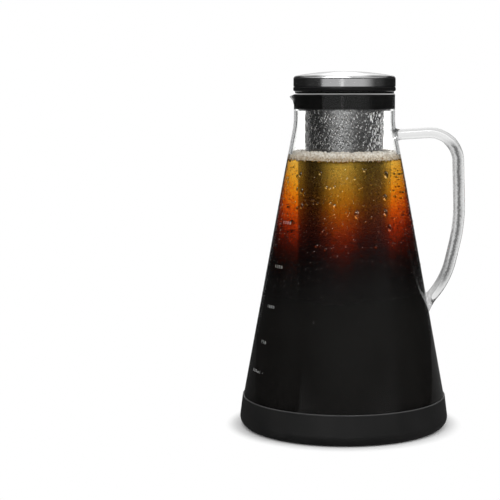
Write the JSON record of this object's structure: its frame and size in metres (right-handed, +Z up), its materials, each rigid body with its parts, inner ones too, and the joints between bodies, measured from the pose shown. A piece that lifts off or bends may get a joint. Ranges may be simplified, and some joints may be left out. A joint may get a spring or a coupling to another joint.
{
  "type": "cold brew coffee maker",
  "caption": "Conical glass carafe with a fused glass handle, silicone base sleeve, steel immersion filter hung in the neck and a domed steel lid",
  "frame": {"origin": "centre of the base, on the table", "axes": "+Z up along the carafe's axis, +X towards the handle, -X towards the pouring lip"},
  "size_m": [0.1604, 0.149, 0.252],
  "materials": {
    "clear_glass": "clear borosilicate glass, fire polished",
    "black_silicone": "matt moulded silicone",
    "lid_steel": "stainless steel, fine brushed",
    "filter_steel": "stainless steel, perforated and bead rolled",
    "filter_mesh": "fine woven stainless steel cloth",
    "black_plastic": "moulded matt plastic",
    "cold_brew": "clear brown liquid, amber where it is thin",
    "foam": "cream coloured froth",
    "water": "drops of condensation",
    "white_print": "screen printed enamel marks"
  },
  "bodies": {
    "carafe": {"carafe_glass": "clear_glass", "glass_handle": "clear_glass", "base_sleeve": "black_silicone"},
    "filter": {"filter_collar": "black_silicone", "filter_ferrule": "filter_steel", "filter_tube": "filter_steel", "filter_mesh": "filter_mesh", "filter_cup": "filter_steel"},
    "lid": {"lid_cap": "lid_steel", "lid_core": "black_plastic", "lid_gasket": "black_silicone", "lid_seal_1": "black_silicone", "lid_seal_2": "black_silicone"}
  },
  "joints": [
    {"name": "filter_lift", "type": "slide", "parent": "carafe", "child": "filter", "axis": [0, 0, 1], "range_m": [0, 0.24]},
    {"name": "lid_lift", "type": "slide", "parent": "filter", "child": "lid", "axis": [0, 0, 1], "range_m": [0, 0.06]}
  ]
}
